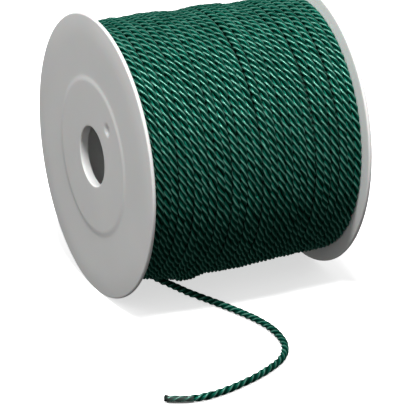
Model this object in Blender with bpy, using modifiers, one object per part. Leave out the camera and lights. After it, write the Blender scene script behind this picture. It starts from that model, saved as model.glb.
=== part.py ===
"""Twisted satin cord wound on a flanged plastic spool, with its taped end lying in front.

Units are metres. +X runs along the spool's axis, +Z is up, and the origin lies on the
surface that the spool rests on, below the middle of the spool.
"""
import math

import bmesh
import bpy
from mathutils import Vector

MM = 0.001

# Spool
FLANGE_RADIUS = 50.0 * MM
BORE_RADIUS = 10.6 * MM
COLLAR_RADIUS = 12.2 * MM
MIDDLE_RADIUS = 27.7 * MM
FACE_FLAT_RADIUS = 42.0 * MM
RIM_OUTER_X = 40.6 * MM
FACE_X = 40.95 * MM
MIDDLE_X = 41.2 * MM
INNER_FACE_X = 39.3 * MM
COLLAR_END_X = 38.2 * MM
RIM_ROUND = 0.55 * MM
RIM_FALL_SHARE = 0.35
EDGE_BREAK = 0.3 * MM
REST_HALF_WIDTH = 5.0 * MM
FLANGE_SEGMENTS = 48
FLAT_CUT_DEPTH = 5.0 * MM

# Small moulded recess in each flange, seen from outside the left one
RECESS_RIGHT = 13.3 * MM
RECESS_UP = 14.0 * MM
RECESS_RADIUS = 2.3 * MM
RECESS_DEPTH = 0.9 * MM

# Drum that carries the cord
CORE_WALL = 1.5 * MM
PIECE_GAP = 0.3 * MM
CORE_SEGMENTS = 40

# Winding
CORD_DIAMETER = 2.6 * MM
TURN_COUNT = 28
WINDING_SEGMENTS = 36
GROOVE_DEPTH = 0.75 * MM
TURN_WANDER = 0.22 * MM
WANDER_WAVES = 3
WANDER_SHIFT_PER_METRE = 400.0
END_CALM = 6.0 * MM
TOP_ANGLE = math.radians(112.0)

# Sagging turns low on the front of the winding
SAG_X = -14.6 * MM
SAG_HALF_WIDTH = 6.0 * MM
SAG_ANGLE = math.radians(-66.0)
SAG_HALF_ANGLE = math.radians(26.0)
SAG_DEPTH = 1.9 * MM

# Loose end: three strands, laid to the left
STRANDS = 3
LAY_LENGTH = 9.4 * MM
STEPS_PER_LAY = 8
TAPE_HALF_WIDTH = 1.46 * MM
TAPE_HALF_HEIGHT = 1.32 * MM
TAPE_STEP = 0.9 * MM
TAPE_SIDES = 12
CURVE_PARTS = 24

# Modelling tolerances
WELD_DISTANCE = 0.00001
TURNED_SHARP_ANGLE = math.radians(30.0)
WINDING_SHARP_ANGLE = math.radians(55.0)

AXIS_HEIGHT = math.sqrt(FLANGE_RADIUS ** 2 - REST_HALF_WIDTH ** 2)
WINDING_HALF_WIDTH = INNER_FACE_X - PIECE_GAP
WINDING_INNER_RADIUS = MIDDLE_RADIUS + PIECE_GAP
TURN_PITCH = 2.0 * WINDING_HALF_WIDTH / TURN_COUNT

# A third of the cord's cross-section: angle in degrees, radius
STRAND_SECTION = [
    (0.0, 0.5 * CORD_DIAMETER),
    (33.0, 1.2 * MM),
    (60.0, 0.92 * MM),
    (87.0, 1.2 * MM),
]

# Outer radius of the winding in mm: place along the axis, radius at the top, radius below
WINDING_OUTLINE = [
    (-39.0, 46.0, 44.8),
    (-33.0, 46.2, 44.9),
    (-29.5, 46.3, 45.0),
    (-25.7, 46.7, 45.7),
    (-22.0, 46.1, 46.2),
    (-18.7, 46.8, 46.5),
    (-14.0, 46.6, 46.6),
    (-9.8, 46.7, 46.7),
    (-3.0, 45.9, 47.0),
    (1.5, 46.3, 47.0),
    (6.1, 46.7, 46.9),
    (11.0, 46.5, 46.7),
    (17.2, 45.6, 46.1),
    (22.0, 46.0, 46.0),
    (26.5, 45.9, 45.6),
    (33.0, 45.8, 45.5),
    (39.0, 45.6, 45.3),
]

# One turn across its width: place in the turn, share of the groove's depth
TURN_STATIONS = [
    (0.0, 1.0),
    (0.25, 0.22),
    (0.5, 0.0),
    (0.75, 0.22),
]

# Middle of the loose end in mm, from below the back of the winding to the tape: x, y, z
LOOSE_ROUTE = [
    (-21.9, 16.5, 4.62),
    (-21.1, 10.0, 2.72),
    (-20.0, 4.2, 1.80),
    (-18.5, -4.3, 1.38),
    (-16.9, -9.2, 1.36),
    (-14.9, -16.2, 1.36),
    (-12.8, -22.5, 1.36),
    (-10.4, -28.3, 1.36),
    (-8.1, -34.0, 1.36),
    (-6.0, -39.6, 1.36),
    (-4.2, -44.9, 1.36),
    (-2.6, -50.2, 1.36),
    (-1.5, -56.4, 1.36),
    (-1.2, -63.2, 1.36),
    (-1.9, -69.6, 1.36),
    (-3.3, -74.6, 1.36),
    (-5.8, -79.6, 1.36),
    (-9.4, -84.0, 1.36),
    (-14.0, -87.8, 1.36),
    (-19.2, -91.1, 1.36),
    (-24.6, -93.9, 1.36),
    (-30.4, -96.4, 1.36),
    (-36.1, -98.4, 1.36),
    (-41.4, -99.7, 1.36),
    (-45.4, -100.1, 1.36),
    (-48.9, -99.8, 1.36),
]

# Middle of the taped tip in mm: x, y, z
TAPE_ROUTE = [
    (-48.9, -99.8, 1.36),
    (-51.8, -98.9, 1.36),
    (-54.6, -97.6, 1.36),
    (-57.3, -96.1, 1.36),
]


def clear_scene():
    for old in list(bpy.data.objects):
        bpy.data.objects.remove(old, do_unlink=True)


def new_collection(name):
    collection = bpy.data.collections.new(name)
    bpy.context.scene.collection.children.link(collection)
    return collection


def principled(name, colour, roughness, sheen=0.0):
    material = bpy.data.materials.new(name)
    material.use_nodes = True
    shader = material.node_tree.nodes["Principled BSDF"]
    shader.inputs["Base Color"].default_value = (*colour, 1.0)
    shader.inputs["Roughness"].default_value = roughness
    shader.inputs["Metallic"].default_value = 0.0
    shader.inputs["Sheen Weight"].default_value = sheen
    material.diffuse_color = (*colour, 1.0)
    return material


def add_object(name, data, collection, material=None):
    thing = bpy.data.objects.new(name, data)
    collection.objects.link(thing)
    if material is not None:
        data.materials.append(material)
    return thing


def evaluated_mesh(thing, name):
    bpy.context.view_layer.update()
    depsgraph = bpy.context.evaluated_depsgraph_get()
    mesh = bpy.data.meshes.new_from_object(thing.evaluated_get(depsgraph))
    mesh.name = name
    return mesh


def turned_mesh(name, profile, segments, collection):
    """Turn a closed (radius, height) outline around Z."""
    outline = bpy.data.meshes.new(name + "_outline")
    points = [(radius, 0.0, height) for radius, height in profile]
    edges = [(i, (i + 1) % len(points)) for i in range(len(points))]
    outline.from_pydata(points, edges, [])
    guide = add_object(name + "_guide", outline, collection)
    screw = guide.modifiers.new("Turn", "SCREW")
    screw.axis = "Z"
    screw.steps = segments
    screw.render_steps = segments
    screw.use_merge_vertices = True
    screw.merge_threshold = WELD_DISTANCE
    mesh = evaluated_mesh(guide, name)
    bpy.data.objects.remove(guide, do_unlink=True)
    mesh.shade_smooth()
    mesh.set_sharp_from_angle(angle=TURNED_SHARP_ANGLE)
    return mesh


def arc(centre_radius, centre_height, radius, start, end, steps):
    points = []
    for step in range(steps + 1):
        angle = math.radians(start + (end - start) * step / steps)
        points.append((
            centre_radius + radius * math.cos(angle),
            centre_height + radius * math.sin(angle),
        ))
    return points


def flange_profile():
    """Outline of one flange, up its bore and down its rim, outer face up."""
    rim_middle = FLANGE_RADIUS - RIM_ROUND
    bore_side = [
        (BORE_RADIUS, COLLAR_END_X),
        (BORE_RADIUS, MIDDLE_X - EDGE_BREAK),
        (BORE_RADIUS + EDGE_BREAK, MIDDLE_X),
    ]
    outer_face = [
        (MIDDLE_RADIUS - EDGE_BREAK, MIDDLE_X),
        (MIDDLE_RADIUS + EDGE_BREAK, FACE_X),
        (FACE_FLAT_RADIUS, FACE_X),
        (0.5 * (FACE_FLAT_RADIUS + rim_middle), FACE_X - RIM_FALL_SHARE * (FACE_X - RIM_OUTER_X)),
    ]
    rim = arc(rim_middle, RIM_OUTER_X - RIM_ROUND, RIM_ROUND, 90.0, 0.0, 2)
    rim += arc(rim_middle, INNER_FACE_X + RIM_ROUND, RIM_ROUND, 0.0, -90.0, 2)
    collar = [
        (COLLAR_RADIUS, INNER_FACE_X),
        (COLLAR_RADIUS, COLLAR_END_X),
    ]
    return bore_side + outer_face + rim + collar


def cut(thing, cutter, name):
    boolean = thing.modifiers.new(name, "BOOLEAN")
    boolean.operation = "DIFFERENCE"
    boolean.solver = "EXACT"
    boolean.object = cutter


def as_cutter(thing, name, collection):
    thing.name = name
    for owner in list(thing.users_collection):
        owner.objects.unlink(thing)
    collection.objects.link(thing)
    thing.hide_render = True
    thing.display_type = "WIRE"
    return thing


def make_floor_cutter(cutters):
    bpy.ops.mesh.primitive_cube_add(size=1.0, location=(0.0, 0.0, -0.5 * FLAT_CUT_DEPTH))
    block = bpy.context.object
    block.scale = (3.0 * FLANGE_RADIUS, FLANGE_RADIUS, FLAT_CUT_DEPTH)
    return as_cutter(block, "rest_cutter", cutters)


def make_recess_cutter(side, cutters):
    """Ball whose cap sinks into the raised middle of the flange on that side."""
    ball = (RECESS_RADIUS ** 2 + RECESS_DEPTH ** 2) / (2.0 * RECESS_DEPTH)
    centre = Vector((
        side * (MIDDLE_X + ball - RECESS_DEPTH),
        side * RECESS_RIGHT,
        AXIS_HEIGHT + RECESS_UP,
    ))
    bpy.ops.mesh.primitive_uv_sphere_add(
        segments=20, ring_count=14, radius=ball, location=centre,
        rotation=(0.0, 0.5 * math.pi, 0.0))
    label = "right" if side > 0 else "left"
    return as_cutter(bpy.context.object, "recess_cutter_" + label, cutters)


def make_flanges(parts, cutters, material):
    mesh = turned_mesh("flange", flange_profile(), FLANGE_SEGMENTS, cutters)
    mesh.materials.append(material)
    floor_cutter = make_floor_cutter(cutters)
    for name, side in (("flange_left", -1), ("flange_right", 1)):
        flange = bpy.data.objects.new(name, mesh)
        parts.objects.link(flange)
        flange.location = (0.0, 0.0, AXIS_HEIGHT)
        flange.rotation_euler = (0.0, side * 0.5 * math.pi, 0.0)
        cut(flange, floor_cutter, "Rest")
        cut(flange, make_recess_cutter(side, cutters), "Recess")


def make_core_tube(parts, cutters, material):
    inner = MIDDLE_RADIUS - CORE_WALL
    profile = [
        (inner, -WINDING_HALF_WIDTH),
        (inner, WINDING_HALF_WIDTH),
        (MIDDLE_RADIUS, WINDING_HALF_WIDTH),
        (MIDDLE_RADIUS, -WINDING_HALF_WIDTH),
    ]
    mesh = turned_mesh("core_tube", profile, CORE_SEGMENTS, cutters)
    core = add_object("core_tube", mesh, parts, material)
    core.location = (0.0, 0.0, AXIS_HEIGHT)
    core.rotation_euler = (0.0, 0.5 * math.pi, 0.0)


def soft_bump(value, centre, half_width):
    """Rises from 0 to 1 and back over twice the half width."""
    distance = abs(value - centre) / half_width
    if distance >= 1.0:
        return 0.0
    return math.cos(0.5 * math.pi * distance) ** 2


def outline_radius(place, angle):
    """Outer radius of the winding; the angle runs from the front, -Y, up toward +Z."""
    place_mm = place / MM
    top = WINDING_OUTLINE[-1][1]
    below = WINDING_OUTLINE[-1][2]
    for low, high in zip(WINDING_OUTLINE, WINDING_OUTLINE[1:]):
        if place_mm <= high[0]:
            share = max(0.0, (place_mm - low[0]) / (high[0] - low[0]))
            top = low[1] + share * (high[1] - low[1])
            below = low[2] + share * (high[2] - low[2])
            break
    top_share = 0.5 + 0.5 * math.cos(angle - TOP_ANGLE)
    radius = (top * top_share + below * (1.0 - top_share)) * MM
    turn = (angle - SAG_ANGLE + math.pi) % (2.0 * math.pi) - math.pi
    sag = soft_bump(place, SAG_X, SAG_HALF_WIDTH) * soft_bump(turn, 0.0, SAG_HALF_ANGLE)
    return radius + SAG_DEPTH * sag


def winding_section(angle):
    """Points along the axis, as (place, radius), for the cut at one angle."""
    points = []
    for turn in range(TURN_COUNT):
        for place_share, groove_share in TURN_STATIONS:
            place = -WINDING_HALF_WIDTH + TURN_PITCH * (turn + place_share)
            calm = min(1.0, (WINDING_HALF_WIDTH - abs(place)) / END_CALM)
            wave = WANDER_WAVES * angle + WANDER_SHIFT_PER_METRE * place
            place += TURN_WANDER * calm * math.sin(wave)
            radius = outline_radius(place, angle) - GROOVE_DEPTH * groove_share
            points.append((place, radius))
    last = WINDING_HALF_WIDTH
    points.append((last, outline_radius(last, angle) - GROOVE_DEPTH))
    return points


def make_winding(parts, material):
    """Loft of the uneven ring of turns: one section for each angle, closed on itself."""
    shape = bmesh.new()
    columns = []
    for step in range(WINDING_SEGMENTS):
        angle = 2.0 * math.pi * step / WINDING_SEGMENTS
        section = winding_section(angle)
        section.append((WINDING_HALF_WIDTH, WINDING_INNER_RADIUS))
        section.append((-WINDING_HALF_WIDTH, WINDING_INNER_RADIUS))
        columns.append([
            shape.verts.new((
                place,
                -radius * math.cos(angle),
                AXIS_HEIGHT + radius * math.sin(angle),
            ))
            for place, radius in section
        ])
    rows = len(columns[0])
    for step, column in enumerate(columns):
        following = columns[(step + 1) % WINDING_SEGMENTS]
        for row in range(rows):
            above = (row + 1) % rows
            shape.faces.new((column[row], column[above], following[above], following[row]))
    bmesh.ops.recalc_face_normals(shape, faces=shape.faces)
    mesh = bpy.data.meshes.new("winding")
    shape.to_mesh(mesh)
    shape.free()
    mesh.shade_smooth()
    mesh.set_sharp_from_angle(angle=WINDING_SHARP_ANGLE)
    add_object("winding", mesh, parts, material)


def smooth_points(route, step):
    """Evenly spaced points on a smooth curve through the route's own points."""
    knots = [Vector(point) * MM for point in route]
    before = 2.0 * knots[0] - knots[1]
    after = 2.0 * knots[-1] - knots[-2]
    padded = [before] + knots + [after]
    fine = []
    for i in range(1, len(padded) - 2):
        a, b, c, d = padded[i - 1:i + 3]
        for part in range(CURVE_PARTS):
            t = part / CURVE_PARTS
            fine.append(0.5 * (
                2.0 * b + (c - a) * t
                + (2.0 * a - 5.0 * b + 4.0 * c - d) * t ** 2
                + (3.0 * b - a - 3.0 * c + d) * t ** 3))
    fine.append(knots[-1])
    lengths = [0.0]
    for low, high in zip(fine, fine[1:]):
        lengths.append(lengths[-1] + (high - low).length)
    count = max(2, round(lengths[-1] / step))
    points = []
    index = 0
    for number in range(count + 1):
        target = lengths[-1] * number / count
        while index < len(fine) - 2 and lengths[index + 1] < target:
            index += 1
        share = (target - lengths[index]) / (lengths[index + 1] - lengths[index])
        points.append(fine[index].lerp(fine[index + 1], share))
    return points


def section_guide(name, outline, cutters):
    """Closed flat curve that a cord is swept with, its points turned to face outward."""
    curve = bpy.data.curves.new(name, "CURVE")
    curve.dimensions = "2D"
    spline = curve.splines.new("POLY")
    spline.points.add(len(outline) - 1)
    for point, (across, up) in zip(spline.points, reversed(outline)):
        point.co = (across, up, 0.0, 1.0)
    spline.use_cyclic_u = True
    return as_cutter(add_object(name, curve, cutters), name, cutters)


def swept(name, points, tilts, guide, parts, material):
    """Sweep the guide's outline along the points, turned by each point's tilt."""
    curve = bpy.data.curves.new(name, "CURVE")
    curve.dimensions = "3D"
    curve.twist_mode = "MINIMUM"
    spline = curve.splines.new("POLY")
    spline.points.add(len(points) - 1)
    for point, place, tilt in zip(spline.points, points, tilts):
        point.co = (*place, 1.0)
        point.tilt = tilt
    curve.bevel_mode = "OBJECT"
    curve.bevel_object = guide
    curve.use_fill_caps = True
    return add_object(name, curve, parts, material)


def cord_outline():
    """Three strands side by side in a round, each with its crest, flanks and groove."""
    outline = []
    for strand in range(STRANDS):
        for degrees, radius in STRAND_SECTION:
            angle = math.radians(360.0 * strand / STRANDS + degrees)
            outline.append((radius * math.cos(angle), radius * math.sin(angle)))
    return outline


def tape_outline():
    outline = []
    for number in range(TAPE_SIDES):
        angle = 2.0 * math.pi * number / TAPE_SIDES
        outline.append((
            TAPE_HALF_WIDTH * math.cos(angle),
            TAPE_HALF_HEIGHT * math.sin(angle),
        ))
    return outline


def trimmed(points, start, end):
    """Pull the first and last point inward along the line."""
    first = points[0] + (points[1] - points[0]).normalized() * start
    last = points[-1] + (points[-2] - points[-1]).normalized() * end
    return [first] + points[1:-1] + [last]


def make_loose_end(parts, cutters, cord_material, tape_material):
    cord_guide = section_guide("cord_section", cord_outline(), cutters)
    tape_guide = section_guide("tape_section", tape_outline(), cutters)
    step = LAY_LENGTH / STEPS_PER_LAY
    cord_points = smooth_points(LOOSE_ROUTE, step)
    turn = 2.0 * math.pi / STEPS_PER_LAY
    tilts = [-turn * number for number in range(len(cord_points))]
    cord_points = trimmed(cord_points, 0.0, 0.5 * PIECE_GAP)
    swept("loose_end", cord_points, tilts, cord_guide, parts, cord_material)
    tape_points = trimmed(smooth_points(TAPE_ROUTE, TAPE_STEP), 0.5 * PIECE_GAP, 0.0)
    tape_tilts = [0.0] * len(tape_points)
    swept("end_tape", tape_points, tape_tilts, tape_guide, parts, tape_material)


def main():
    clear_scene()
    parts = new_collection("satin_cord_spool")
    cutters = new_collection("cutters")
    plastic = principled("spool_plastic", (0.62, 0.62, 0.60), 0.42)
    satin = principled("satin_cord", (0.012, 0.16, 0.10), 0.38, sheen=0.3)
    tape = principled("clear_tape", (0.30, 0.34, 0.31), 0.25)
    make_flanges(parts, cutters, plastic)
    make_core_tube(parts, cutters, plastic)
    make_winding(parts, satin)
    make_loose_end(parts, cutters, satin, tape)


main()
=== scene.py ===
"""Looks of a spool of twisted satin cord, in metres."""
import math

import bpy
import numpy as np
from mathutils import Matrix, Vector


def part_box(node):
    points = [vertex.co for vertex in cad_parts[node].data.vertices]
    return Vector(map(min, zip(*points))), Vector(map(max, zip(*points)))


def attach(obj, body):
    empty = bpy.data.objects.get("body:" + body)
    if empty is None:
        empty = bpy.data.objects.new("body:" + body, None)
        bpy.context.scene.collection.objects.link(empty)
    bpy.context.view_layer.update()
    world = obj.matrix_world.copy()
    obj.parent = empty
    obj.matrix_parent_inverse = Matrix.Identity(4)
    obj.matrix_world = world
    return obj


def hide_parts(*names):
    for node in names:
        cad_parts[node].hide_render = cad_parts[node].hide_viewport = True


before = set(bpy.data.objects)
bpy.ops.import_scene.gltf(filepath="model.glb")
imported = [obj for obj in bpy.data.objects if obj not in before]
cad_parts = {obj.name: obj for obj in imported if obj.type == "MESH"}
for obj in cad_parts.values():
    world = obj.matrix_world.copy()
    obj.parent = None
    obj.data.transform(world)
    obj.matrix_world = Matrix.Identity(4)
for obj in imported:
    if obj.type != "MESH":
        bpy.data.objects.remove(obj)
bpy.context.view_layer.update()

MM = 0.001
BODY = "root"

# Spool
FLANGE_LOW, FLANGE_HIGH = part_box("flange_left")
CORE_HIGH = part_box("core_tube")[1]
WINDING_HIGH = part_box("winding")[1]
FLANGE_RADIUS = FLANGE_HIGH.y
AXIS_HEIGHT = FLANGE_HIGH.z - FLANGE_RADIUS
MIDDLE_X = -FLANGE_LOW.x
COLLAR_END_X = -FLANGE_HIGH.x
CORE_RADIUS = CORE_HIGH.y
CORE_WALL = 1.5 * MM
WINDING_HALF_WIDTH = WINDING_HIGH.x
PIECE_GAP = 0.3 * MM
CORE_SEGMENTS = 120
CORE_SHARP_ANGLE = 30.0

# Flange, as moulded
FACE_X = MIDDLE_X - 0.25 * MM
RIM_OUTER_X = MIDDLE_X - 0.6 * MM
INNER_FACE_X = WINDING_HALF_WIDTH + PIECE_GAP
BORE_RADIUS = 10.6 * MM
BORE_EDGE_ROUND = 0.35 * MM
COLLAR_RADIUS = 12.2 * MM
COLLAR_INNER_ROUND = 0.15 * MM
COLLAR_OUTER_ROUND = 0.2 * MM
COLLAR_ROOT_ROUND = 0.4 * MM
MIDDLE_EDGE_RADIUS = 26.3 * MM
MIDDLE_EDGE_WIDTH = 2.6 * MM
FACE_FLAT_RADIUS = 41.0 * MM
RIM_ROUND = 0.55 * MM
FLANGE_SEGMENTS = 180
RECESS_RIGHT = 13.3 * MM
RECESS_UP = 14.0 * MM
RECESS_RADIUS = 2.5 * MM
RECESS_DEPTH = 0.9 * MM
FACE_TOLERANCE = 0.01 * MM

# Rings of points up the bore: distance from the collar's end, from the face, and number
BORE_RINGS = (0.5 * MM, 0.6 * MM, 4)

# Radii in mm at which the flange has rings of points: first, last, and spacing or number
MIDDLE_RINGS = (11.4, 26.0, 0.45)
FACE_RINGS = (30.0, FACE_FLAT_RADIUS / MM, 6)
INNER_FACE_RINGS = (48.0, 14.0, 9)

# Slight waviness of the flange, in waves round it
WARP_WAVES = (2, 3)
WARP = 0.05 * MM
WARP_START_RADIUS = 20.0 * MM
WARP_WIDTH = 30.0 * MM
FLANGE_SEEDS = {-1: 71, 1: 72}

# Right flange, pressed outward by the wound cord, most at the top
FLARE_LEAST = 0.5 * MM
FLARE_MOST = 2.0 * MM
FLARE_START_X = 14.0 * MM
FLARE_START_RADIUS = 18.0 * MM

# Cord
CORD_RADIUS = 1.3 * MM
LAY = 9.4 * MM
STRANDS = 3
STRAND_PLACE = 0.64 * MM
STRAND_DEEP = 0.66 * MM
STRAND_WIDE = 0.74 * MM
STRAND_TAPER = 0.32
LAY_CHANGE = 0.08
LAY_CHANGE_SPACING = 31.0 * MM
WOUND_SPREAD = 1.38
# How far the painted highlight line on the wound turns leans toward the spool's outward normal
WOUND_HIGHLIGHT_LEAN = 0.40
WOUND_SEED = 81
CUT_RINGS = 3
WINDING_STEPS = 12
WINDING_SIDES = 10
LOOSE_STEPS = 26
LOOSE_SIDES = 16

# Unevenness of a strand in its angle and its thickness, spaced along it in map units
MAP_UNIT = 10.0 * MM
STRAND_SWAY = 0.26
SWAY_SPACING = 0.45
STRAND_PUFF = 0.07
PUFF_SPACING = 0.37

# Layers of the winding, as angles in degrees from the front, -Y, up over the top
FRONT_ANGLE = 45.0
CROSS_START = 150.0
CROSS_END = 262.0
CROSS_SHARE = 0.85
CLIMB_ANGLE = 200.0
CLIMB_ARC = 55.0
MEAN_TURN_RADIUS = 45.0 * MM
UPPER_TURNS = 20
UPPER_FIRST_X = 37.95 * MM
UPPER_LAST_X = -16.3 * MM
UPPER_PIECES = 3
UPPER_SEED = 11
UPPER_TWIST_SEED = 21
LOWER_TURNS = 8
LOWER_FIRST_X = -37.95 * MM
LOWER_LAST_X = -19.05 * MM
LOWER_PIECES = 1
LOWER_START_PHASE = 1.3
LOWER_SEED = 31
LOWER_TWIST_SEED = 41
LAYER_DEPTH = 2.25 * MM
FLANGE_PRESS = 0.2 * MM

# Unevenness of the turns: size, and spacing as a share of a turn
LEAST_SPARE = 0.3
TURN_WANDER = 0.27 * MM
TURN_WANDER_SPACING = 0.13
TURN_WANDER_FADE = 2.0 * MM
TURN_RISE = 0.16 * MM
TURN_RISE_SPACING = 0.11

# Wider gaps beside some turns of the upper layer: turn, extra gap in mm
UPPER_GAPS = [
    (3, 0.15),
    (5, 0.22),
    (9, 0.10),
    (12, 0.25),
    (16, 0.12),
]

# The same for the lower layer
LOWER_GAPS = [
    (2, 0.12),
    (5, 0.10),
]

# Last turn, which stands off the winding at the back and runs into the loose end
LIFT_START = 105.0
LIFT_END = 178.0
DRIFT_START = 150.0

# Last turn of the lower layer, which dives under the upper one
DIVE_ARC = 75.0
DIVE_END = 330.0

# Map of the winding's outer surface, in sectors round it and bands along it
CREST_SECTORS = 36
CREST_BANDS = 28
CREST_SMOOTHING = 23

# Layer seen in the gaps between the turns
UNDER_COLUMNS = 120
RIDGES = 28
RIDGE_ROWS = 6
RIDGE_DEPTH = 0.7 * MM

# Loose end, squeezed by the tape and spread again at the cut
SQUEEZE = 0.17
SQUEEZE_LIFT = 0.12 * MM
SQUEEZE_LEAD = 1.2 * MM
SQUEEZE_LENGTH = 2.2 * MM
CUT_SPREAD = 0.13
CUT_SPREAD_LEAD = 1.3 * MM
CUT_SPREAD_LENGTH = 0.6 * MM
LOOSE_CHANGE = 0.015
LOOSE_CHANGE_SPACING = 6.0 * MM
LOOSE_SIZE_SEED = 51
LOOSE_TWIST_SEED = 52
LOOSE_STRAND_SEED = 91

# Tape
TAPE_STEP = 0.25 * MM
TAPE_REACH = 0.15 * MM
TAPE_TURNS = 1.22
TAPE_COLUMNS = 44
TAPE_START_ANGLE = 205.0
TAPE_RADIUS = 1.27 * MM
TAPE_FLATNESS = 1.06
TAPE_OVERLAP = 0.05
TAPE_PINCH = 0.05
TAPE_PINCH_LENGTH = 0.5 * MM
TAPE_CRUMPLE = 0.02
TAPE_CRUMPLE_AROUND = 2.0
TAPE_CRUMPLE_ALONG = 0.9
TAPE_LOWEST = 0.06 * MM
TAPE_THICKNESS = 0.05 * MM
TAPE_SEED = 61

# Middle of the loose end in mm, from below the back of the winding to the tape: x, y, z
LOOSE_ROUTE = [
    (-21.9, 16.5, 4.62),
    (-21.1, 10.0, 2.72),
    (-20.0, 4.2, 1.80),
    (-18.5, -4.3, 1.38),
    (-16.9, -9.2, 1.36),
    (-14.9, -16.2, 1.36),
    (-12.8, -22.5, 1.36),
    (-10.4, -28.3, 1.36),
    (-8.1, -34.0, 1.36),
    (-6.0, -39.6, 1.36),
    (-4.2, -44.9, 1.36),
    (-2.6, -50.2, 1.36),
    (-1.5, -56.4, 1.36),
    (-1.2, -63.2, 1.36),
    (-1.9, -69.6, 1.36),
    (-3.3, -74.6, 1.36),
    (-5.8, -79.6, 1.36),
    (-9.4, -84.0, 1.36),
    (-14.0, -87.8, 1.36),
    (-19.2, -91.1, 1.36),
    (-24.6, -93.9, 1.36),
    (-30.4, -96.4, 1.36),
    (-36.1, -98.4, 1.36),
    (-41.4, -99.7, 1.36),
    (-45.4, -100.1, 1.36),
    (-48.9, -99.8, 1.36),
]

# Middle of the taped tip in mm: x, y, z
TAPE_ROUTE = [
    (-48.9, -99.8, 1.36),
    (-51.8, -98.9, 1.36),
    (-54.6, -97.6, 1.36),
    (-57.3, -96.1, 1.36),
]

# Satin, from the grooves beside a strand to its crest: painted shade near black in the grooves,
# dye green on the strand, and a painted highlight on the crest
SATIN_DYE_SHADE_AND_HIGHLIGHT_COLOURS = [
    (0.0, (0.0002, 0.004, 0.002)),
    (0.50, (0.0004, 0.014, 0.008)),
    (0.935, (0.0022, 0.072, 0.047)),
    (0.99, (0.100, 0.250, 0.195)),
]
SATIN_SWAY = 0.10
SATIN_ROUGHNESS = (0.34, 0.46)
FIBRE_TINT = (0.55, 1.45)
PATCH_TINT = (0.70, 1.30)
FIBRES_ALONG = 0.5
FIBRES_AROUND = 26.0
FIBRES_SLANT = 2.2

# Colours of the finer parts, dark to light
# Cut end: near-black painted shade, with a fibre grain
CUT_END_SHADE_COLOURS = [
    (0.3, (0.0005, 0.004, 0.003)),
    (0.75, (0.0020, 0.018, 0.012)),
]
UNDER_COLOURS = [
    (0.2, (0.001, 0.012, 0.008)),
    (0.9, (0.002, 0.060, 0.038)),
]
TAPE_COLOURS = [
    (0.3, (0.30, 0.32, 0.31)),
    (0.8, (0.46, 0.48, 0.47)),
]

# Tape over heights above the floor: painted light, lighter along the lower side and darker higher
# up, and how much of the cord it hides
TAPE_PAINTED_LIGHT = (2.0, 0.75)
TAPE_PAINTED_LIGHT_HEIGHTS = (0.4 * MM, 1.0 * MM)
TAPE_FILM = (0.90, 0.06)
TAPE_FILM_HEIGHTS = (0.7 * MM, 1.0 * MM)
TAPE_FILM_CHANGE = (0.75, 1.25)

# Plastic: lightness, its change from place to place, and the range of its gloss
SPOOL_SHADE = 0.69
# Drum: the same plastic made lighter as painted light, to brighten its shaded inside seen through
# the bore
DRUM_LIGHTENED_SHADE = 0.95
SHADE_CHANGE = 0.025
SHADE_WARMTH = 0.01
PLASTIC_ROUGHNESS = (0.36, 0.50)

# Studio
FLOOR_RADIUS = 30.0
FLOOR_SHADE = (0.86, 0.86, 0.86, 1.0)
FLOOR_GLOW = 0.62
SKY_BY_HEIGHT = [
    (0.49, (0.17, 0.17, 0.17)),
    (0.68, (1.0, 1.0, 1.0)),
]
SKY_BY_SIDE = [
    (0.0, (1.15, 1.15, 1.15)),
    (0.5, (0.42, 0.42, 0.42)),
    (0.82, (0.27, 0.27, 0.27)),
    (1.0, (0.85, 0.85, 0.85)),
]
KEY_WIDTH = 0.30
KEY_DEPTH = 0.16
KEY_POWER = 15.0
KEY_HEIGHT_ANGLE = 70.0
KEY_SIDE_ANGLE = -26.0
KEY_DISTANCE = 1.0

# Camera, its place given from the middle of the spool
CAMERA_PLACE = (-0.442824, -0.955113, 0.391947)
CAMERA_SIGHT = (0.39242163, 0.8428786, -0.36818599)
CAMERA_SENSOR = 36.0
CAMERA_LENS = 281.2
CAMERA_NEAREST = 0.05
CAMERA_FARTHEST = 40.0


def link(thing):
    bpy.context.scene.collection.objects.link(thing)
    return thing


def mesh_object(name, points, faces, material):
    """Object from an array of points and a list of arrays of faces, one array for each size."""
    mesh = bpy.data.meshes.new(name)
    mesh.vertices.add(len(points))
    mesh.vertices.foreach_set("co", np.asarray(points, np.float32).ravel())
    sizes = np.concatenate([np.full(len(part), part.shape[1]) for part in faces])
    corners = np.concatenate([part.ravel() for part in faces])
    mesh.loops.add(len(corners))
    mesh.loops.foreach_set("vertex_index", corners.astype(np.int32))
    mesh.polygons.add(len(sizes))
    starts = np.concatenate([[0], np.cumsum(sizes)[:-1]])
    mesh.polygons.foreach_set("loop_start", starts.astype(np.int32))
    mesh.polygons.foreach_set("use_smooth", np.full(len(sizes), True))
    mesh.update(calc_edges=True)
    mesh.materials.append(material)
    return link(bpy.data.objects.new(name, mesh))


def smooth_step(value):
    value = np.clip(value, 0.0, 1.0)
    return value * value * (3.0 - 2.0 * value)


def soft_noise(places, spacing, seed):
    """Smooth random curve between -1 and 1, with a new value every spacing."""
    rng = np.random.default_rng(seed)
    first = math.floor(float(np.min(places)) / spacing) - 1
    last = math.ceil(float(np.max(places)) / spacing) + 2
    knots = rng.uniform(-1.0, 1.0, last - first + 1)
    where = np.asarray(places) / spacing - first
    low = np.floor(where).astype(int)
    share = smooth_step(where - low)
    return knots[low] * (1.0 - share) + knots[low + 1] * share


def flare(up, share):
    """Outward shift of the right flange, or of the turns beside it, at a height above the axis."""
    height = np.clip(0.5 + 0.5 * up / FLANGE_RADIUS, 0.0, 1.0)
    return (FLARE_LEAST + (FLARE_MOST - FLARE_LEAST) * height) * smooth_step(share)


def turns_flare(places, up):
    share = (places - FLARE_START_X) / (WINDING_HALF_WIDTH - FLARE_START_X)
    return flare(up, share)


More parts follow.
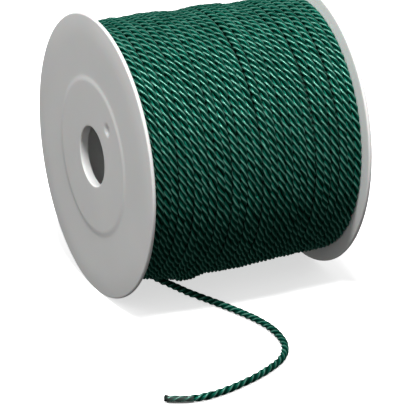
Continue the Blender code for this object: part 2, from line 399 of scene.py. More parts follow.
def unit(vectors):
    return vectors / np.linalg.norm(vectors, axis=-1, keepdims=True)


def path_length(path):
    steps = np.linalg.norm(np.diff(path, axis=0), axis=1)
    return np.concatenate([[0.0], np.cumsum(steps)])


def even_path(path, step):
    """The path with evenly spaced points, about one step apart."""
    along = path_length(path)
    count = max(2, round(along[-1] / step))
    targets = np.linspace(0.0, along[-1], count + 1)
    return np.stack([np.interp(targets, along, path[:, axis]) for axis in range(3)], axis=1)


def curve_through(route, parts=40):
    """Smooth curve through the points of a route given in mm."""
    knots = np.array(route) * MM
    padded = np.vstack([2.0 * knots[0] - knots[1], knots, 2.0 * knots[-1] - knots[-2]])
    pieces = []
    share = np.linspace(0.0, 1.0, parts, endpoint=False)[:, None]
    for i in range(1, len(padded) - 2):
        a, b, c, d = padded[i - 1:i + 3]
        pieces.append(0.5 * (
            2.0 * b + (c - a) * share
            + (2.0 * a - 5.0 * b + 4.0 * c - d) * share ** 2
            + (3.0 * b - a - 3.0 * c + d) * share ** 3))
    pieces.append(knots[-1:])
    return np.vstack(pieces)


def carried_normals(path, first):
    """Normals that follow the path without turning about it."""
    tangents = unit(np.gradient(path, axis=0))
    normals = np.empty_like(path)
    normal = np.array(first)
    for i, tangent in enumerate(tangents):
        normal = normal - tangent * normal.dot(tangent)
        normal = normal / np.linalg.norm(normal)
        normals[i] = normal
    return normals


# Materials

def new_material(name):
    material = bpy.data.materials.new(name)
    material.use_nodes = True
    nodes = material.node_tree.nodes
    return material, nodes, material.node_tree.links, nodes["Principled BSDF"]


def add_node(nodes, kind, **settings):
    node = nodes.new(kind)
    for key, value in settings.items():
        setattr(node, key, value)
    return node


def math_node(nodes, links, operation, *values):
    node = add_node(nodes, "ShaderNodeMath", operation=operation)
    for socket, value in zip(node.inputs, values):
        if isinstance(value, (int, float)):
            socket.default_value = value
        else:
            links.new(value, socket)
    return node.outputs[0]


def half_range(nodes, links, value):
    """A value from -1 to 1 as one from 0 to 1."""
    return math_node(nodes, links, "MULTIPLY_ADD", value, 0.5, 0.5)


def noise_node(nodes, links, vector, scale, detail=2.0, roughness=0.5):
    node = add_node(nodes, "ShaderNodeTexNoise")
    node.inputs["Scale"].default_value = scale
    node.inputs["Detail"].default_value = detail
    node.inputs["Roughness"].default_value = roughness
    links.new(vector, node.inputs["Vector"])
    return node.outputs["Fac"]


def ramp_node(nodes, links, value, stops):
    node = add_node(nodes, "ShaderNodeValToRGB")
    ramp = node.color_ramp
    while len(ramp.elements) < len(stops):
        ramp.elements.new(0.5)
    for element, (place, colour) in zip(ramp.elements, stops):
        element.position = place
        element.color = (*colour, 1.0)
    links.new(value, node.inputs["Fac"])
    return node.outputs["Color"]


def range_node(nodes, links, value, low, high, start=0.0, end=1.0):
    node = add_node(nodes, "ShaderNodeMapRange")
    node.inputs["From Min"].default_value = start
    node.inputs["From Max"].default_value = end
    node.inputs["To Min"].default_value = low
    node.inputs["To Max"].default_value = high
    links.new(value, node.inputs["Value"])
    return node.outputs["Result"]


def bump_node(nodes, links, height, strength, distance):
    node = add_node(nodes, "ShaderNodeBump")
    node.inputs["Strength"].default_value = strength
    node.inputs["Distance"].default_value = distance
    links.new(height, node.inputs["Height"])
    return node.outputs["Normal"]


def tinted(nodes, links, colour, value, low, high):
    """The colour, lighter or darker by a value from 0 to 1."""
    factor = range_node(nodes, links, value, low, high)
    node = add_node(nodes, "ShaderNodeMix", data_type="RGBA", blend_type="MULTIPLY")
    node.inputs["Factor"].default_value = 1.0
    links.new(colour, node.inputs["A"])
    links.new(factor, node.inputs["B"])
    return node.outputs["Result"]


def satin_material():
    """Twisted satin yarn: fine filaments along each strand, a painted highlight on its crest and
    painted shade in its grooves.
    """
    material, nodes, links, shader = new_material("satin_cord")
    uv = add_node(nodes, "ShaderNodeUVMap", uv_map="strand").outputs["UV"]
    split = add_node(nodes, "ShaderNodeSeparateXYZ")
    links.new(uv, split.inputs[0])
    along, around = split.outputs[0], split.outputs[1]
    place = add_node(nodes, "ShaderNodeTexCoord").outputs["Object"]
    waver = noise_node(nodes, links, place, scale=330.0, detail=1.0)
    sway = range_node(nodes, links, waver, -SATIN_SWAY, SATIN_SWAY)
    swayed = math_node(nodes, links, "ADD", around, sway)
    turn = math_node(nodes, links, "MULTIPLY_ADD", swayed, 2.0 * math.pi, -math.pi)
    crest = half_range(nodes, links, math_node(nodes, links, "COSINE", turn))
    # Dye green, with painted shade in the grooves and a painted highlight along the crest
    colour = ramp_node(nodes, links, crest, SATIN_DYE_SHADE_AND_HIGHLIGHT_COLOURS)
    fibre_map = add_node(nodes, "ShaderNodeCombineXYZ")
    links.new(math_node(nodes, links, "MULTIPLY", along, FIBRES_ALONG), fibre_map.inputs[0])
    across = math_node(nodes, links, "MULTIPLY", around, FIBRES_AROUND)
    slanted = math_node(nodes, links, "MULTIPLY_ADD", along, FIBRES_SLANT, across)
    links.new(slanted, fibre_map.inputs[1])
    fibres = noise_node(
        nodes, links, fibre_map.outputs[0], scale=1.0, detail=3.0, roughness=0.6)
    patches = noise_node(nodes, links, place, scale=90.0, detail=2.0)
    colour = tinted(nodes, links, colour, fibres, *FIBRE_TINT)
    colour = tinted(nodes, links, colour, patches, *PATCH_TINT)
    links.new(colour, shader.inputs["Base Color"])
    links.new(range_node(nodes, links, fibres, *SATIN_ROUGHNESS), shader.inputs["Roughness"])
    bump = bump_node(nodes, links, fibres, strength=0.35, distance=0.06 * MM)
    links.new(bump, shader.inputs["Normal"])
    lie = add_node(nodes, "ShaderNodeTangent", direction_type="UV_MAP", uv_map="strand")
    links.new(lie.outputs["Tangent"], shader.inputs["Tangent"])
    shader.inputs["Metallic"].default_value = 0.5
    shader.inputs["Anisotropic"].default_value = 0.8
    shader.inputs["Specular IOR Level"].default_value = 0.05
    shader.inputs["Specular Tint"].default_value = (0.4, 1.0, 0.8, 1.0)
    shader.inputs["IOR"].default_value = 1.40
    return material


# Near-black painted shade on the cut end and the last rings of the loose end, with a fibre grain.
def shaded_cut_end_material():
    material, nodes, links, shader = new_material("shaded_cut_end")
    place = add_node(nodes, "ShaderNodeTexCoord").outputs["Object"]
    grain = noise_node(nodes, links, place, scale=9000.0, detail=3.0)
    links.new(ramp_node(nodes, links, grain, CUT_END_SHADE_COLOURS), shader.inputs["Base Color"])
    bump = bump_node(nodes, links, grain, strength=0.6, distance=0.1 * MM)
    links.new(bump, shader.inputs["Normal"])
    shader.inputs["Specular IOR Level"].default_value = 0.2
    shader.inputs["Roughness"].default_value = 0.8
    return material


def under_layer_material():
    """Layer below the outer turns, seen only in the gaps between them."""
    material, nodes, links, shader = new_material("under_layer")
    place = add_node(nodes, "ShaderNodeTexCoord").outputs["Object"]
    strands = add_node(nodes, "ShaderNodeTexWave", wave_type="BANDS", bands_direction="DIAGONAL")
    strands.inputs["Scale"].default_value = 260.0
    strands.inputs["Distortion"].default_value = 1.0
    links.new(place, strands.inputs["Vector"])
    bands = strands.outputs["Fac"]
    links.new(ramp_node(nodes, links, bands, UNDER_COLOURS), shader.inputs["Base Color"])
    bump = bump_node(nodes, links, bands, strength=0.6, distance=0.4 * MM)
    links.new(bump, shader.inputs["Normal"])
    shader.inputs["Specular IOR Level"].default_value = 0.1
    shader.inputs["Roughness"].default_value = 0.55
    return material


def plastic_material(name, shade):
    """Moulded plastic, pale and slightly soft in its gloss."""
    material, nodes, links, shader = new_material(name)
    place = add_node(nodes, "ShaderNodeTexCoord").outputs["Object"]
    clouds = noise_node(nodes, links, place, scale=26.0, detail=3.0)
    grain = noise_node(nodes, links, place, scale=900.0, detail=2.0)
    dark, light = shade - SHADE_CHANGE, shade + SHADE_CHANGE
    colour = ramp_node(nodes, links, clouds, [
        (0.25, (dark, dark, dark - SHADE_WARMTH)),
        (0.75, (light, light, light - SHADE_WARMTH)),
    ])
    links.new(colour, shader.inputs["Base Color"])
    links.new(range_node(nodes, links, clouds, *PLASTIC_ROUGHNESS), shader.inputs["Roughness"])
    bump = bump_node(nodes, links, grain, strength=0.08, distance=0.05 * MM)
    links.new(bump, shader.inputs["Normal"])
    shader.inputs["IOR"].default_value = 1.49
    shader.inputs["Subsurface Weight"].default_value = 0.12
    shader.inputs["Subsurface Scale"].default_value = 0.0015
    return material


def tape_material():
    """Clear tape, greyish where it lies double along its lower side, with painted light making
    that lower side lighter.
    """
    material, nodes, links, shader = new_material("clear_tape")
    place = add_node(nodes, "ShaderNodeTexCoord").outputs["Object"]
    wrinkles = noise_node(nodes, links, place, scale=700.0, detail=3.0)
    split = add_node(nodes, "ShaderNodeSeparateXYZ")
    links.new(place, split.inputs[0])
    height = split.outputs[2]
    raised = range_node(nodes, links, height, 0.0, 1.0, *TAPE_PAINTED_LIGHT_HEIGHTS)
    colour = ramp_node(nodes, links, wrinkles, TAPE_COLOURS)
    # Painted light: lighter low down, darker higher up
    colour = tinted(nodes, links, colour, raised, *TAPE_PAINTED_LIGHT)
    links.new(colour, shader.inputs["Base Color"])
    film = range_node(nodes, links, height, *TAPE_FILM, *TAPE_FILM_HEIGHTS)
    uneven = range_node(nodes, links, wrinkles, *TAPE_FILM_CHANGE)
    links.new(math_node(nodes, links, "MULTIPLY", film, uneven), shader.inputs["Alpha"])
    bump = bump_node(nodes, links, wrinkles, strength=0.5, distance=0.2 * MM)
    links.new(bump, shader.inputs["Normal"])
    shader.inputs["Roughness"].default_value = 0.38
    shader.inputs["IOR"].default_value = 1.47
    return material


# Cord

def rope(
        name, path, normals, phases, material, shaded_cut_material, sides, seed,
        sizes=None, spread=1.0, highlight_lean=0.0, cut_rings=0):
    """Three strands twisted round a path, as one mesh with closed ends.

    The painted highlight line of each strand leans toward the normal of the path, and the last
    rings get the cut end's near-black painted shade.
    """
    if sizes is None:
        sizes = np.ones(len(path))
    sizes = sizes[:, None]
    tangents = unit(np.gradient(path, axis=0))
    normals = unit(normals - tangents * (normals * tangents).sum(1, keepdims=True))
    binormals = np.cross(tangents, normals)
    along = path_length(path) / MAP_UNIT
    count = len(path)
    angles = math.pi + 2.0 * math.pi * np.arange(sides) / sides
    deep = STRAND_DEEP * np.cos(angles)[None, :, None]
    wide = STRAND_WIDE * (np.sin(angles) * (1.0 - STRAND_TAPER * np.cos(angles)))[None, :, None]
    points, quads, ends, places = [], [], [], []
    ring = np.arange(sides)
    beside = (ring + 1) % sides
    for strand in range(STRANDS):
        sway = STRAND_SWAY * soft_noise(along, SWAY_SPACING, seed + strand)
        puff = 1.0 + STRAND_PUFF * soft_noise(along, PUFF_SPACING, seed + STRANDS + strand)
        girth = (sizes * puff[:, None])[:, None]
        phase = (phases + sway + 2.0 * math.pi * strand / STRANDS)[:, None]
        outward = np.cos(phase) * normals + np.sin(phase) * binormals
        place = np.cos(phase) * normals + spread * np.sin(phase) * binormals
        centres = path + STRAND_PLACE * sizes * place
        ahead = unit(np.gradient(centres, axis=0))
        outward = unit(outward - ahead * (outward * ahead).sum(1, keepdims=True))
        sideways = np.cross(ahead, outward)
        rings = (
            centres[:, None]
            + deep * girth * outward[:, None]
            + wide * girth * sideways[:, None])
        base = strand * count * sides
        points.append(rings.reshape(-1, 3))
        low = base + np.arange(count - 1)[:, None] * sides
        quads.append(np.stack([
            low + ring, low + beside, low + sides + beside, low + sides + ring,
        ], axis=-1).reshape(-1, 4))
        ends.append(base + ring[::-1])
        ends.append(base + (count - 1) * sides + ring)
        u_low = np.broadcast_to(along[:-1, None], (count - 1, sides))
        u_high = np.broadcast_to(along[1:, None], (count - 1, sides))
        # Turns the painted highlight line toward the normal of the path
        turned_by = highlight_lean * np.sin(phase) / (2.0 * math.pi)
        v_here = ring / sides + turned_by[:-1]
        v_next = ring / sides + turned_by[1:]
        width = 1.0 / sides
        places.append(np.stack([
            np.stack([u_low, v_here], -1), np.stack([u_low, v_here + width], -1),
            np.stack([u_high, v_next + width], -1), np.stack([u_high, v_next], -1),
        ], axis=2).reshape(-1, 2))
    quads = np.concatenate(quads)
    ends = np.stack(ends)
    thing = mesh_object(name, np.concatenate(points), [quads, ends], material)
    mesh = thing.data
    mesh.materials.append(shaded_cut_material)
    # The last rings take the cut end's near-black painted shade
    is_cut = np.zeros((STRANDS, count - 1, sides))
    is_cut[:, count - 1 - cut_rings:] = 1.0
    slots = np.concatenate([is_cut.ravel(), np.ones(len(ends))]).astype(np.int32)
    mesh.polygons.foreach_set("material_index", slots)
    layer = mesh.uv_layers.new(name="strand")
    cap_places = np.full((ends.size, 2), 0.5)
    layer.data.foreach_set("uv", np.concatenate(places + [cap_places]).astype(np.float32).ravel())
    return thing


def crest_map():
    """Outer radius of the winding by place along the axis and by whole degree round it."""
    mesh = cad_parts["winding"].data
    points = np.empty(len(mesh.vertices) * 3)
    mesh.vertices.foreach_get("co", points)
    points = points.reshape(-1, 3)
    up = points[:, 2] - AXIS_HEIGHT
    radius = np.hypot(points[:, 1], up)
    angle = np.degrees(np.arctan2(up, -points[:, 1])) % 360.0
    sector = np.round(angle / (360.0 / CREST_SECTORS)).astype(int) % CREST_SECTORS
    width = 2.0 * WINDING_HALF_WIDTH / CREST_BANDS
    band = ((points[:, 0] + WINDING_HALF_WIDTH) / width).astype(int)
    crest = np.zeros((CREST_BANDS, CREST_SECTORS))
    np.maximum.at(crest, (np.clip(band, 0, CREST_BANDS - 1), sector), radius)
    degrees = np.arange(360)
    marks = np.linspace(0.0, 360.0, CREST_SECTORS + 1)
    fine = np.empty((CREST_BANDS, 360))
    window = np.hanning(CREST_SMOOTHING)
    window /= window.sum()
    for row in range(CREST_BANDS):
        line = np.interp(degrees, marks, np.append(crest[row], crest[row, 0]))
        fine[row] = np.convolve(np.tile(line, 3), window, mode="same")[360:720]
    centres = -WINDING_HALF_WIDTH + width * (np.arange(CREST_BANDS) + 0.5)
    return centres, fine


CREST_PLACES, CREST_RADII = crest_map()


def crest_radius(places, degrees):
    band = np.interp(places, CREST_PLACES, np.arange(len(CREST_PLACES)))
    low = np.minimum(band.astype(int), len(CREST_PLACES) - 2)
    share = band - low
    turn = np.asarray(degrees) % 360.0
    before = turn.astype(int) % 360
    after = (before + 1) % 360
    part = turn - np.floor(turn)
    left = CREST_RADII[low, before] * (1.0 - part) + CREST_RADII[low, after] * part
    right = CREST_RADII[low + 1, before] * (1.0 - part) + CREST_RADII[low + 1, after] * part
    return left * (1.0 - share) + right * share


def turn_places(count, first, last, gaps, seed):
    """Places of a layer's turns at the front, pressed together but for the wider gaps."""
    rng = np.random.default_rng(seed)
    weights = rng.uniform(LEAST_SPARE, 1.0, count - 1)
    extra = np.zeros(count - 1)
    for turn, gap in gaps:
        extra[turn] = gap * MM
    span = abs(last - first)
    spare = span - 2.0 * CORD_RADIUS * (count - 1) - extra.sum()
    steps = 2.0 * CORD_RADIUS + extra + spare * weights / weights.sum()
    return first + math.copysign(1.0, last - first) * np.concatenate([[0.0], np.cumsum(steps)])


def layer_line(count, first, last, gaps, end_angle, seed):
    """Angles in degrees, places along the axis and radii of one layer's cord."""
    places = turn_places(count, first, last, gaps, seed)
    start_angle = CLIMB_ANGLE - 360.0
    step = math.degrees(LAY / WINDING_STEPS / MEAN_TURN_RADIUS)
    angles = np.arange(start_angle, end_angle, step)
    turn = (angles - FRONT_ANGLE) / 360.0
    knots = np.arange(count)
    pitch = (places[-1] - places[0]) / (count - 1)
    line = np.interp(turn, knots, places)
    line = np.where(turn > count - 1, places[-1] + (turn - count + 1) * pitch, line)
    whole = turn - np.floor(turn)
    cross_start = (CROSS_START - FRONT_ANGLE) / 360.0
    cross_end = (CROSS_END - FRONT_ANGLE) / 360.0
    crossed = smooth_step((whole - cross_start) / (cross_end - cross_start))
    bent = line + CROSS_SHARE * pitch * (crossed - whole)
    bent = np.where(turn < 0.0, places[0], bent)
    wander = TURN_WANDER * soft_noise(turn, TURN_WANDER_SPACING, seed + 1)
    wander *= smooth_step(
        (WINDING_HALF_WIDTH - CORD_RADIUS - np.abs(bent)) / TURN_WANDER_FADE)
    bent = bent + wander
    limit = WINDING_HALF_WIDTH + FLANGE_PRESS - CORD_RADIUS
    bent = np.clip(bent, -limit, limit)
    radii = crest_radius(bent, angles) - CORD_RADIUS
    radii += TURN_RISE * soft_noise(turn, TURN_RISE_SPACING, seed + 2)
    climb = 1.0 - smooth_step((angles - start_angle) / CLIMB_ARC)
    radii -= LAYER_DEPTH * climb
    bent = bent + turns_flare(bent, radii * np.sin(np.radians(angles)))
    return angles, bent, radii


def around_axis(angles, places, radii):
    turn = np.radians(angles)
    path = np.stack([
        places, -radii * np.cos(turn), AXIS_HEIGHT + radii * np.sin(turn)], axis=1)
    outward = np.stack([np.zeros_like(turn), -np.cos(turn), np.sin(turn)], axis=1)
    return path, outward


def twist(path, start, seed):
    """Phase of the strands along the path: laid to the left, a little uneven."""
    along = path_length(path)
    lay = LAY * (1.0 + LAY_CHANGE * soft_noise(along, LAY_CHANGE_SPACING, seed))
    turns = np.concatenate([[0.0], np.cumsum(np.diff(along) / lay[1:])])
    return start - 2.0 * math.pi * turns


def make_layer(name, line, phases, pieces, satin, shaded_cut_end):
    """One layer's cord as several pieces, cut where they meet end to end."""
    angles, places, radii = line
    path, outward = around_axis(angles, places, radii)
    bounds = np.linspace(0, len(path) - 1, pieces + 1).astype(int)
    made = []
    for number, (low, high) in enumerate(zip(bounds, bounds[1:]), 1):
        part = slice(max(0, low - 1), high + 1)
        made.append(rope(
            f"{name}_{number}", path[part], outward[part], phases[part],
            satin, shaded_cut_end, WINDING_SIDES, WOUND_SEED,
            spread=WOUND_SPREAD, highlight_lean=WOUND_HIGHLIGHT_LEAN))
    for thing in made:
        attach(thing, BODY)
        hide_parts("winding")
    return path, outward


def make_winding(satin, shaded_cut_end):
    """Two layers of turns; returns the end of the upper one, which runs into the loose end."""
    exit_place, exit_back, exit_height = (value * MM for value in LOOSE_ROUTE[0])
    exit_radius = math.hypot(exit_back, exit_height - AXIS_HEIGHT)
    exit_angle = 270.0 - math.degrees(math.atan2(exit_back, AXIS_HEIGHT - exit_height))
    last = 360.0 * (UPPER_TURNS - 1)
    angles, places, radii = layer_line(
        UPPER_TURNS, UPPER_FIRST_X, UPPER_LAST_X, UPPER_GAPS, last + exit_angle, UPPER_SEED)
    angles[-1] = last + exit_angle
    lift = smooth_step((angles - last - LIFT_START) / (LIFT_END - LIFT_START))
    drift = smooth_step((angles - last - DRIFT_START) / (exit_angle - DRIFT_START))
    radii = radii * (1.0 - lift) + exit_radius * lift
    held = np.interp(last + DRIFT_START, angles, places)
    places = np.where(angles > last + DRIFT_START, held, places)
    places = places * (1.0 - drift) + exit_place * drift
    upper = (angles, places, radii)
    phases = twist(around_axis(*upper)[0], 0.0, UPPER_TWIST_SEED)
    path, outward = make_layer("outer_turns", upper, phases, UPPER_PIECES, satin, shaded_cut_end)

    last = 360.0 * (LOWER_TURNS - 1)
    angles, places, radii = layer_line(
        LOWER_TURNS, LOWER_FIRST_X, LOWER_LAST_X, LOWER_GAPS, last + DIVE_END, LOWER_SEED)
    dive = smooth_step((angles - (last + LIFT_START)) / DIVE_ARC)
    lower = (angles, places, radii - LAYER_DEPTH * dive)
    lower_phases = twist(around_axis(*lower)[0], LOWER_START_PHASE, LOWER_TWIST_SEED)
    make_layer("inner_turns", lower, lower_phases, LOWER_PIECES, satin, shaded_cut_end)
    return path[-1], outward[-1], phases[-1]


def make_under_layer(material):
    """Closed ring with the ridges of the layer below, between the turns above it."""
    rows = RIDGES * RIDGE_ROWS + 1
    places = np.linspace(-WINDING_HALF_WIDTH, WINDING_HALF_WIDTH, rows)
    degrees = np.arange(UNDER_COLUMNS) * 360.0 / UNDER_COLUMNS
    ridge = np.abs(np.sin(math.pi * np.arange(rows) / RIDGE_ROWS))
    inner = CORE_RADIUS + PIECE_GAP
    points = []
    for degree in degrees:
        outer = crest_radius(places, np.full(rows, degree)) - LAYER_DEPTH
        outer = outer - RIDGE_DEPTH * (1.0 - ridge)
        line = np.concatenate([places, [WINDING_HALF_WIDTH, -WINDING_HALF_WIDTH]])
        radii = np.concatenate([outer, [inner, inner]])
        line[:rows] += turns_flare(places, outer * math.sin(math.radians(degree)))
        points.append(around_axis(np.full(len(line), degree), line, radii)[0])
    total = rows + 2
    row = np.arange(total)
    above = (row + 1) % total
    quads = []
    for column in range(UNDER_COLUMNS):
        low = column * total
        high = ((column + 1) % UNDER_COLUMNS) * total
        quads.append(np.stack([low + row, high + row, high + above, low + above], axis=1))
    thing = mesh_object("under_layer", np.concatenate(points), [np.concatenate(quads)], material)
    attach(thing, BODY)
    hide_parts("winding")


def make_loose_end(start_normal, start_phase, satin, shaded_cut_end):
    """The free end, from where the last turn leaves the winding to the cut tip in the tape."""
    free = curve_through(LOOSE_ROUTE)
    taped = curve_through(TAPE_ROUTE)
    tape_start = path_length(free)[-1]
    path = even_path(np.vstack([free, taped[1:]]), LAY / LOOSE_STEPS)
    along = path_length(path)
    squeezed = smooth_step((along - tape_start + SQUEEZE_LEAD) / SQUEEZE_LENGTH)
    path[:, 2] += SQUEEZE_LIFT * squeezed
    sizes = 1.0 - SQUEEZE * squeezed
    sizes *= 1.0 + LOOSE_CHANGE * soft_noise(along, LOOSE_CHANGE_SPACING, LOOSE_SIZE_SEED)
    sizes += CUT_SPREAD * smooth_step(
        (along - along[-1] + CUT_SPREAD_LEAD) / CUT_SPREAD_LENGTH)
    normals = carried_normals(path, start_normal)
    phases = twist(path, start_phase, LOOSE_TWIST_SEED)
    cord = rope(
        "loose_end_cord", path, normals, phases, satin, shaded_cut_end,
        LOOSE_SIDES, LOOSE_STRAND_SEED, sizes, cut_rings=CUT_RINGS)
    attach(cord, BODY)
    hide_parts("loose_end")
    return cord, path


def make_tape(material):
    """Strip of clear tape rolled once and a bit more round the tip."""
    path = even_path(curve_through(TAPE_ROUTE), TAPE_STEP)
    path[0] += unit(path[0] - path[1]) * TAPE_REACH
    path = path[:-CUT_RINGS]
    tangents = unit(np.gradient(path, axis=0))
    normals = carried_normals(path, (0.0, 0.0, 1.0))
    across = np.cross(tangents, normals)
    turn = np.linspace(0.0, 2.0 * math.pi * TAPE_TURNS, TAPE_COLUMNS)
    along = path_length(path)
    start = math.radians(TAPE_START_ANGLE)
    grow = 1.0 + TAPE_OVERLAP * turn / (2.0 * math.pi)
    points = []
    for i, centre in enumerate(path):
        from_end = min(along[i], along[-1] - along[i])
        pinch = 1.0 - TAPE_PINCH * math.exp(-from_end / TAPE_PINCH_LENGTH)
        fold = turn * TAPE_CRUMPLE_AROUND + TAPE_CRUMPLE_ALONG * along[i] / MM
        crumple = TAPE_CRUMPLE * soft_noise(fold, 1.0, TAPE_SEED)
        radius = TAPE_RADIUS * grow * pinch * (1.0 + crumple)
        side = TAPE_FLATNESS * radius * np.cos(turn + start)
        up = np.maximum(radius * np.sin(turn + start), TAPE_LOWEST - centre[2])
        points.append(centre + side[:, None] * across[i] + up[:, None] * normals[i])
    low = np.arange(len(path) - 1)[:, None] * TAPE_COLUMNS
    high = low + TAPE_COLUMNS
    column = np.arange(TAPE_COLUMNS - 1)
    quads = np.stack([
        low + column, low + column + 1, high + column + 1, high + column,
    ], axis=-1).reshape(-1, 4)
    tape = mesh_object("tape_wrap", np.concatenate(points), [quads], material)
    solid = tape.modifiers.new("Film", "SOLIDIFY")
    solid.thickness = TAPE_THICKNESS
    solid.offset = 1.0
    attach(tape, BODY)
    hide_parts("end_tape")
    return tape


# Spool

def arc_points(centre, radius, start, end, steps):
    angles = np.radians(np.linspace(start, end, steps + 1))
    return [
        (centre[0] + radius * math.cos(angle), centre[1] + radius * math.sin(angle))
        for angle in angles
    ]


def flange_outline():
    """Radius and distance from the spool's middle, up the bore, over the face, down the rim."""
    rim_middle = FLANGE_RADIUS - RIM_ROUND
    points = arc_points(
        (BORE_RADIUS + COLLAR_INNER_ROUND, COLLAR_END_X + COLLAR_INNER_ROUND),
        COLLAR_INNER_ROUND, 270, 180, 3)
    above_collar, below_face, rings = BORE_RINGS
    for height in np.linspace(COLLAR_END_X + above_collar, MIDDLE_X - below_face, rings):
        points.append((BORE_RADIUS, height))
    points += arc_points(
        (BORE_RADIUS + BORE_EDGE_ROUND, MIDDLE_X - BORE_EDGE_ROUND),
        BORE_EDGE_ROUND, 180, 90, 5)
    for radius in np.arange(*MIDDLE_RINGS):
        points.append((radius * MM, MIDDLE_X))
    step = np.linspace(0.0, 1.0, 7)
    points += [
        (MIDDLE_EDGE_RADIUS + MIDDLE_EDGE_WIDTH * share,
         FACE_X + (MIDDLE_X - FACE_X) * (1.0 - fall))
        for share, fall in zip(step, smooth_step(step))
    ]
    for radius in np.linspace(*FACE_RINGS):
        points.append((radius * MM, FACE_X))
    fall = np.linspace(0.0, 1.0, 12)[1:]
    points += [
        (FACE_FLAT_RADIUS + (rim_middle - FACE_FLAT_RADIUS) * share,
         FACE_X - (FACE_X - RIM_OUTER_X) * share ** 2)
        for share in fall
    ]
    points += arc_points((rim_middle, RIM_OUTER_X - RIM_ROUND), RIM_ROUND, 80, 0, 6)
    points += arc_points((rim_middle, INNER_FACE_X + RIM_ROUND), RIM_ROUND, 0, -90, 6)
    for radius in np.linspace(*INNER_FACE_RINGS):
        points.append((radius * MM, INNER_FACE_X))
    points += arc_points(
        (COLLAR_RADIUS + COLLAR_ROOT_ROUND, INNER_FACE_X - COLLAR_ROOT_ROUND),
        COLLAR_ROOT_ROUND, 90, 180, 4)
    points += arc_points(
        (COLLAR_RADIUS - COLLAR_OUTER_ROUND, COLLAR_END_X + COLLAR_OUTER_ROUND),
        COLLAR_OUTER_ROUND, 0, -90, 3)
    return np.array(points)


def turned(name, outline, side, segments, material):
    """Turn an outline round the spool's axis, on the side given by -1 or 1."""
    angles = 2.0 * math.pi * np.arange(segments) / segments
    radius = outline[:, 0][None, :]
    points = np.stack([
        np.broadcast_to(side * outline[:, 1][None, :], (segments, len(outline))),
        -radius * np.cos(angles)[:, None],
        AXIS_HEIGHT + radius * np.sin(angles)[:, None],
    ], axis=-1).reshape(-1, 3)
    total = len(outline)
    row = np.arange(total)
    above = (row + 1) % total
    quads = []
    for column in range(segments):
        low = column * total
        high = ((column + 1) % segments) * total
        quad = np.stack([low + row, low + above, high + above, high + row], axis=1)
        quads.append(quad if side > 0 else quad[:, ::-1])
    return mesh_object(name, points, [np.concatenate(quads)], material)


def make_flange(name, side, material):
    flange = turned(name + "_disc", flange_outline(), side, FLANGE_SEGMENTS, material)
    mesh = flange.data
    points = np.empty(len(mesh.vertices) * 3)
    mesh.vertices.foreach_get("co", points)
    points = points.reshape(-1, 3)
    up = points[:, 2] - AXIS_HEIGHT
    radius = np.hypot(points[:, 1], up)
    angle = np.arctan2(up, points[:, 1])
    outer_face = side * points[:, 0] > FACE_X - FACE_TOLERANCE
    reach = np.hypot(points[:, 1] - side * RECESS_RIGHT, up - RECESS_UP) / RECESS_RADIUS
    sink = np.where(reach < 1.0, np.cos(0.5 * math.pi * np.minimum(reach, 1.0)) ** 2, 0.0)
    points[:, 0] -= side * RECESS_DEPTH * sink * outer_face
    rng = np.random.default_rng(FLANGE_SEEDS[side])
    bend = smooth_step((radius - WARP_START_RADIUS) / WARP_WIDTH)
    for waves in WARP_WAVES:
        shift = rng.uniform(0.0, 2.0 * math.pi)
        points[:, 0] += WARP * bend * np.sin(waves * angle + shift)
    if side > 0:
        share = (radius - FLARE_START_RADIUS) / (FLANGE_RADIUS - FLARE_START_RADIUS)
        points[:, 0] += flare(up, share)
    points[:, 2] = np.maximum(points[:, 2], 0.0)
    mesh.vertices.foreach_set("co", points.astype(np.float32).ravel())
    mesh.update()
    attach(flange, BODY)
    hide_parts(name)


def make_core(material):
    inner = CORE_RADIUS - CORE_WALL
    half = CORE_HIGH.x
    outline = np.array([(inner, -half), (inner, half), (CORE_RADIUS, half), (CORE_RADIUS, -half)])
    core = turned("core_drum", outline, 1, CORE_SEGMENTS, material)
    core.data.set_sharp_from_angle(angle=math.radians(CORE_SHARP_ANGLE))
    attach(core, BODY)
    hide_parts("core_tube")


# Stage

def make_stage():
    material, nodes, links, shader = new_material("floor")
    shader.inputs["Base Color"].default_value = FLOOR_SHADE
    shader.inputs["Emission Color"].default_value = (1.0, 1.0, 1.0, 1.0)
    shader.inputs["Emission Strength"].default_value = FLOOR_GLOW
    shader.inputs["Roughness"].default_value = 0.9
    shader.inputs["Specular IOR Level"].default_value = 0.1
    bpy.ops.mesh.primitive_circle_add(vertices=64, radius=FLOOR_RADIUS, fill_type="NGON")
    floor = bpy.context.object
    floor.name = "floor"
    floor.data.materials.append(material)
    floor.visible_diffuse = False
    floor.visible_glossy = False


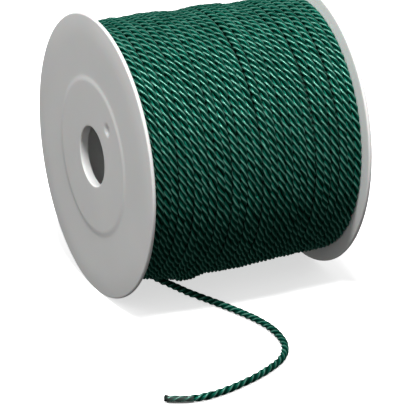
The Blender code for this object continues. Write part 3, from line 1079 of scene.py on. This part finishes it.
def make_world():
    world = bpy.data.worlds.new("studio")
    bpy.context.scene.world = world
    world.use_nodes = True
    nodes, links = world.node_tree.nodes, world.node_tree.links
    background = nodes["Background"]
    direction = add_node(nodes, "ShaderNodeTexCoord").outputs["Generated"]
    split = add_node(nodes, "ShaderNodeSeparateXYZ")
    links.new(direction, split.inputs[0])
    sky = ramp_node(nodes, links, half_range(nodes, links, split.outputs[2]), SKY_BY_HEIGHT)
    side = ramp_node(nodes, links, half_range(nodes, links, split.outputs[0]), SKY_BY_SIDE)
    both = add_node(nodes, "ShaderNodeMix", data_type="RGBA", blend_type="MULTIPLY")
    both.inputs["Factor"].default_value = 1.0
    links.new(sky, both.inputs["A"])
    links.new(side, both.inputs["B"])
    links.new(both.outputs["Result"], background.inputs["Color"])
    background.inputs["Strength"].default_value = 1.0


def make_key_light():
    """Large soft box above the front of the spool."""
    light = bpy.data.lights.new("key", "AREA")
    light.shape = "RECTANGLE"
    light.size = KEY_WIDTH
    light.size_y = KEY_DEPTH
    light.energy = KEY_POWER
    key = link(bpy.data.objects.new("key", light))
    target = Vector((0.0, 0.0, AXIS_HEIGHT))
    height, side = math.radians(KEY_HEIGHT_ANGLE), math.radians(KEY_SIDE_ANGLE)
    reach = Vector((
        math.sin(side) * math.cos(height), -math.cos(side) * math.cos(height), math.sin(height)))
    key.location = target + KEY_DISTANCE * reach
    key.rotation_euler = (target - key.location).to_track_quat("-Z", "Y").to_euler()


def make_camera():
    """Camera of the photograph, found from the outlines of both flanges."""
    camera_data = bpy.data.cameras.new("camera")
    camera_data.sensor_width = CAMERA_SENSOR
    camera_data.lens = CAMERA_LENS
    camera_data.clip_start = CAMERA_NEAREST
    camera_data.clip_end = CAMERA_FARTHEST
    camera = link(bpy.data.objects.new("camera", camera_data))
    camera.location = Vector(CAMERA_PLACE) + Vector((0.0, 0.0, AXIS_HEIGHT))
    camera.rotation_euler = Vector(CAMERA_SIGHT).to_track_quat("-Z", "Y").to_euler()
    bpy.context.scene.camera = camera


make_camera()
SATIN = satin_material()
SHADED_CUT_END = shaded_cut_end_material()
PLASTIC = plastic_material("spool_plastic", SPOOL_SHADE)
EXIT_POINT, EXIT_NORMAL, EXIT_PHASE = make_winding(SATIN, SHADED_CUT_END)
LOOSE_CORD, LOOSE_PATH = make_loose_end(EXIT_NORMAL, EXIT_PHASE, SATIN, SHADED_CUT_END)
TAPE = make_tape(tape_material())
make_under_layer(under_layer_material())
make_flange("flange_left", -1, PLASTIC)
make_flange("flange_right", 1, PLASTIC)
# Lighter copy of the plastic: painted light for the drum's shaded inside
make_core(plastic_material("drum_plastic_painted_light", DRUM_LIGHTENED_SHADE))
make_stage()
make_world()
make_key_light()
bpy.context.scene.view_settings.view_transform = "Standard"
